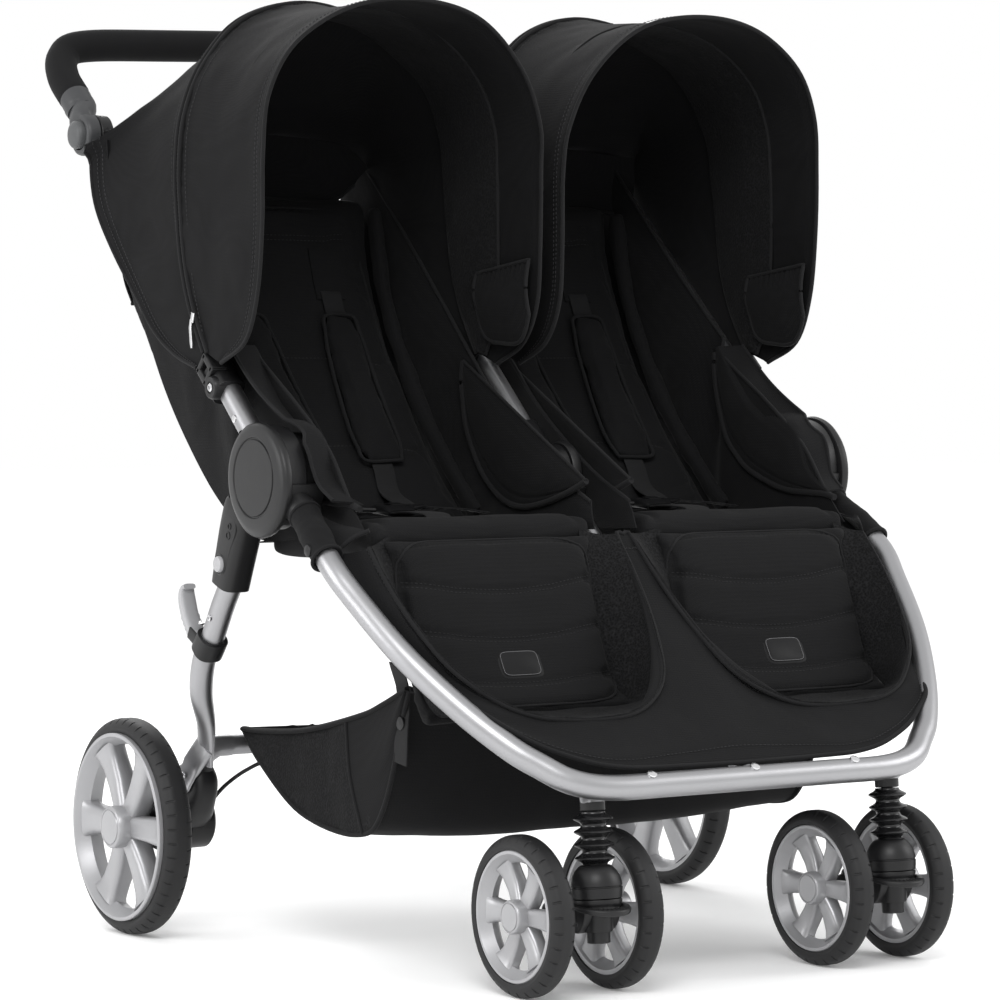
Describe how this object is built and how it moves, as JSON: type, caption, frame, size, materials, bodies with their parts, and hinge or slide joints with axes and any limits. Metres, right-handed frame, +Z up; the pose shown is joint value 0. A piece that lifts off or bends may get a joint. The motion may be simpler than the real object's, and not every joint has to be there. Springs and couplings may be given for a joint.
{
  "type": "jogging stroller",
  "caption": "Side-by-side stroller for children seated next to each other: folding tube frame, padded reclining seats, canopies, basket, swivel casters and a tilting foam handlebar.",
  "frame": {"origin": "on the ground, under the middle of the whole stroller", "axes": "+Z up, the front of the stroller towards -Y, +X to the right seen from the front"},
  "size_m": [0.765, 0.9163, 1.0065],
  "materials": {
    "black_fabric": "matte woven polyester",
    "black_plastic": "fine moulded texture",
    "black_rubber": "matte",
    "grey_plastic": "fine moulded texture",
    "grip_foam": "matte foam",
    "silver_plastic": "satin silver painted plastic",
    "silver_tube": "satin anodised tube",
    "tyre_rubber": "matte, siped tread"
  },
  "bodies": {
    "front_frame": {"front_frame_tube": "silver_tube", "hub_left": "grey_plastic", "hub_right": "grey_plastic", "hub_centre": "grey_plastic", "seat_base_left": "black_fabric", "seat_base_right": "black_fabric", "calf_rest_left": "black_fabric", "calf_rest_right": "black_fabric", "apron": "black_fabric", "basket": "black_fabric", "caster_post_left": "black_plastic", "caster_post_right": "black_plastic", "bellows_left": "black_rubber", "bellows_right": "black_rubber"},
    "handle_frame": {"handle_tube_left": "silver_tube", "handle_tube_right": "silver_tube", "handle_centre_tube": "silver_tube", "canopy_rear_left": "black_fabric", "canopy_rear_right": "black_fabric"},
    "rear_legs": {"leg_casting_left": "black_plastic", "leg_casting_right": "black_plastic", "rear_leg_left": "silver_tube", "rear_leg_right": "silver_tube", "axle_housing_left": "black_plastic", "axle_housing_right": "black_plastic", "rear_crossbar": "silver_tube", "brake_cable": "black_plastic", "hook_clamp": "black_plastic"},
    "handlebar": {"handlebar_grip": "grip_foam", "handlebar_knuckle_left": "grey_plastic", "handlebar_knuckle_right": "grey_plastic"},
    "fold_button": {"fold_safety_button": "grey_plastic"},
    "hook": {"transport_hook": "grey_plastic"},
    "brake": {"brake_pedal": "grey_plastic"},
    "canopy_left_bow": {"canopy_bow_left": "black_plastic"},
    "canopy_left_front": {"canopy_front_left": "black_fabric"},
    "backrest_left": {"backrest_left": "black_fabric"},
    "pivot_button_left": {"handlebar_button_left": "grey_plastic"},
    "caster_left_collar": {"caster_collar_left": "black_plastic"},
    "caster_left_yoke": {"caster_yoke_left": "black_plastic"},
    "caster_left_lock": {"swivel_lock_left": "grey_plastic"},
    "rear_wheel_left": {"rear_tyre_left": "tyre_rubber", "rear_rim_left": "silver_plastic"},
    "caster_wheel_left_outer": {"caster_tyre_left_outer": "tyre_rubber", "caster_rim_left_outer": "silver_plastic"},
    "caster_wheel_left_inner": {"caster_tyre_left_inner": "tyre_rubber", "caster_rim_left_inner": "silver_plastic"},
    "canopy_right_bow": {"canopy_bow_right": "black_plastic"},
    "canopy_right_front": {"canopy_front_right": "black_fabric"},
    "backrest_right": {"backrest_right": "black_fabric"},
    "pivot_button_right": {"handlebar_button_right": "grey_plastic"},
    "caster_right_collar": {"caster_collar_right": "black_plastic"},
    "caster_right_yoke": {"caster_yoke_right": "black_plastic"},
    "caster_right_lock": {"swivel_lock_right": "grey_plastic"},
    "rear_wheel_right": {"rear_tyre_right": "tyre_rubber", "rear_rim_right": "silver_plastic"},
    "caster_wheel_right_outer": {"caster_tyre_right_outer": "tyre_rubber", "caster_rim_right_outer": "silver_plastic"},
    "caster_wheel_right_inner": {"caster_tyre_right_inner": "tyre_rubber", "caster_rim_right_inner": "silver_plastic"}
  },
  "joints": [
    {"name": "handle_fold", "type": "hinge", "parent": "front_frame", "child": "handle_frame", "pos_m": [0, -0.0715, 0.5], "axis": [1, 0, 0], "range_deg": [0, 135]},
    {"name": "leg_fold", "type": "hinge", "parent": "front_frame", "child": "rear_legs", "pos_m": [0, -0.0715, 0.5], "axis": [-1, 0, 0], "range_deg": [0, 62], "deforming": ["basket"]},
    {"name": "handlebar_tilt", "type": "hinge", "parent": "handle_frame", "child": "handlebar", "pos_m": [0, 0.33493, 0.86982], "axis": [1, 0, 0], "range_deg": [-40, 30]},
    {"name": "fold_button_press", "type": "slide", "parent": "rear_legs", "child": "fold_button", "axis": [1, 0, 0], "range_m": [0, 0.004], "stiffness_N_per_m": 600, "springref_m": -0.002},
    {"name": "hook_swing", "type": "hinge", "parent": "rear_legs", "child": "hook", "pos_m": [-0.3305, 0.101, 0.333], "axis": [-1, 0, 0], "range_deg": [0, 40]},
    {"name": "brake_press", "type": "hinge", "parent": "rear_legs", "child": "brake", "pos_m": [0.303, 0.235, 0.124], "axis": [-1, 0, 0], "range_deg": [0, 25], "stiffness_Nm_per_rad": 0.6, "springref_deg": -17.19},
    {"name": "canopy_left_stow", "type": "hinge", "parent": "handle_frame", "child": "canopy_left_bow", "pos_m": [-0.166, 0.03353, 0.59557], "axis": [-1, 0, 0], "range_deg": [0, 28], "deforming": ["canopy_rear_left", "canopy_front_left"]},
    {"name": "canopy_left_tilt", "type": "hinge", "parent": "canopy_left_bow", "child": "canopy_left_front", "pos_m": [-0.166, 0.03353, 0.59557], "axis": [-1, 0, 0], "range_deg": [0, 28]},
    {"name": "recline_left", "type": "hinge", "parent": "handle_frame", "child": "backrest_left", "pos_m": [-0.166, 0.0255, 0.44], "axis": [-1, 0, 0], "range_deg": [0, 20]},
    {"name": "pivot_button_left_press", "type": "slide", "parent": "handlebar", "child": "pivot_button_left", "axis": [1, 0, 0], "range_m": [0, 0.004], "stiffness_N_per_m": 800, "springref_m": -0.002},
    {"name": "caster_left_suspension", "type": "slide", "parent": "front_frame", "child": "caster_left_collar", "axis": [0, 0.0819, 0.9966], "range_m": [0, 0.012], "stiffness_N_per_m": 5000, "springref_m": -0.02, "deforming": ["bellows_left"]},
    {"name": "caster_left_swivel", "type": "hinge", "parent": "caster_left_collar", "child": "caster_left_yoke", "pos_m": [-0.182, -0.42368, 0.09881], "axis": [0, 0.0819, 0.9966], "continuous": true},
    {"name": "caster_left_lock_tab", "type": "hinge", "parent": "caster_left_yoke", "child": "caster_left_lock", "pos_m": [-0.182, -0.45459, 0.09383], "axis": [1, 0, 0], "range_deg": [0, 30]},
    {"name": "rear_wheel_left_spin", "type": "hinge", "parent": "rear_legs", "child": "rear_wheel_left", "pos_m": [-0.3554, 0.2125, 0.117], "axis": [1, 0, 0], "continuous": true},
    {"name": "caster_wheel_left_outer_spin", "type": "hinge", "parent": "caster_left_yoke", "child": "caster_wheel_left_outer", "pos_m": [-0.234, -0.3721, 0.0794], "axis": [1, 0, 0], "continuous": true},
    {"name": "caster_wheel_left_inner_spin", "type": "hinge", "parent": "caster_left_yoke", "child": "caster_wheel_left_inner", "pos_m": [-0.13, -0.3721, 0.0794], "axis": [1, 0, 0], "continuous": true},
    {"name": "canopy_right_stow", "type": "hinge", "parent": "handle_frame", "child": "canopy_right_bow", "pos_m": [0.166, 0.03353, 0.59557], "axis": [-1, 0, 0], "range_deg": [0, 28], "deforming": ["canopy_rear_right", "canopy_front_right"]},
    {"name": "canopy_right_tilt", "type": "hinge", "parent": "canopy_right_bow", "child": "canopy_right_front", "pos_m": [0.166, 0.03353, 0.59557], "axis": [-1, 0, 0], "range_deg": [0, 28]},
    {"name": "recline_right", "type": "hinge", "parent": "handle_frame", "child": "backrest_right", "pos_m": [0.166, 0.0255, 0.44], "axis": [-1, 0, 0], "range_deg": [0, 20]},
    {"name": "pivot_button_right_press", "type": "slide", "parent": "handlebar", "child": "pivot_button_right", "axis": [-1, 0, 0], "range_m": [0, 0.004], "stiffness_N_per_m": 800, "springref_m": -0.002},
    {"name": "caster_right_suspension", "type": "slide", "parent": "front_frame", "child": "caster_right_collar", "axis": [0, 0.0819, 0.9966], "range_m": [0, 0.012], "stiffness_N_per_m": 5000, "springref_m": -0.02, "deforming": ["bellows_right"]},
    {"name": "caster_right_swivel", "type": "hinge", "parent": "caster_right_collar", "child": "caster_right_yoke", "pos_m": [0.182, -0.42368, 0.09881], "axis": [0, 0.0819, 0.9966], "continuous": true},
    {"name": "caster_right_lock_tab", "type": "hinge", "parent": "caster_right_yoke", "child": "caster_right_lock", "pos_m": [0.182, -0.45459, 0.09383], "axis": [1, 0, 0], "range_deg": [0, 30]},
    {"name": "rear_wheel_right_spin", "type": "hinge", "parent": "rear_legs", "child": "rear_wheel_right", "pos_m": [0.3554, 0.2125, 0.117], "axis": [1, 0, 0], "continuous": true},
    {"name": "caster_wheel_right_outer_spin", "type": "hinge", "parent": "caster_right_yoke", "child": "caster_wheel_right_outer", "pos_m": [0.234, -0.3721, 0.0794], "axis": [1, 0, 0], "continuous": true},
    {"name": "caster_wheel_right_inner_spin", "type": "hinge", "parent": "caster_right_yoke", "child": "caster_wheel_right_inner", "pos_m": [0.13, -0.3721, 0.0794], "axis": [1, 0, 0], "continuous": true}
  ],
  "couplings": [
    {"joint": "leg_fold", "follows": "handle_fold", "ratio": 0.45926},
    {"joint": "canopy_left_stow", "follows": "handle_fold", "ratio": 0.20741},
    {"joint": "canopy_right_stow", "follows": "handle_fold", "ratio": 0.20741}
  ]
}
